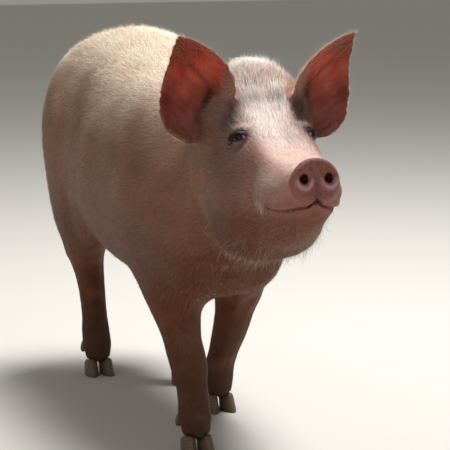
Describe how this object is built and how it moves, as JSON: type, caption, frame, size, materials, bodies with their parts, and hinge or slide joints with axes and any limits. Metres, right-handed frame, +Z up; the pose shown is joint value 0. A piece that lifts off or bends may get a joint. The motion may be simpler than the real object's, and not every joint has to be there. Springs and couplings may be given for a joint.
{
  "type": "pig",
  "caption": "Life-size still model of a young white pig in mid stride, head raised, with upright cupped ears, round snout disc and curled tail",
  "frame": {"origin": "bottom centre of the bounding box, on the floor that the soles stand on", "axes": "-Y is the way the pig faces, +X is the pig's left, +Z is up"},
  "size_m": [0.3428, 1.2722, 0.7532],
  "materials": {
    "skin": "matte pink-tan skin under short pale bristles",
    "lower_leg_skin": "matte brownish skin",
    "ear_skin": "thin, smooth, redder skin",
    "snout_skin": "moist mauve-pink skin, satin",
    "horn": "worn horn, matte",
    "eye": "wet, glossy"
  },
  "bodies": {
    "root": {"ear_left": "ear_skin", "ear_right": "ear_skin", "eye_left": "eye", "eye_right": "eye", "foreleg_left_cannon": "lower_leg_skin", "foreleg_left_claw_inner": "horn", "foreleg_left_claw_outer": "horn", "foreleg_left_dewclaw_inner": "horn", "foreleg_left_dewclaw_outer": "horn", "foreleg_left_foot": "lower_leg_skin", "foreleg_left_forearm": "skin", "foreleg_right_cannon": "lower_leg_skin", "foreleg_right_claw_inner": "horn", "foreleg_right_claw_outer": "horn", "foreleg_right_dewclaw_inner": "horn", "foreleg_right_dewclaw_outer": "horn", "foreleg_right_foot": "lower_leg_skin", "foreleg_right_forearm": "skin", "head": "skin", "hindleg_left_cannon": "lower_leg_skin", "hindleg_left_claw_inner": "horn", "hindleg_left_claw_outer": "horn", "hindleg_left_dewclaw_inner": "horn", "hindleg_left_dewclaw_outer": "horn", "hindleg_left_foot": "lower_leg_skin", "hindleg_left_hock": "skin", "hindleg_right_cannon": "lower_leg_skin", "hindleg_right_claw_inner": "horn", "hindleg_right_claw_outer": "horn", "hindleg_right_dewclaw_inner": "horn", "hindleg_right_dewclaw_outer": "horn", "hindleg_right_foot": "lower_leg_skin", "hindleg_right_hock": "skin", "jaw": "skin", "neck": "skin", "snout": "snout_skin", "tail_curl": "skin", "tail_stem": "skin", "trunk": "skin"}
  },
  "joints": []
}
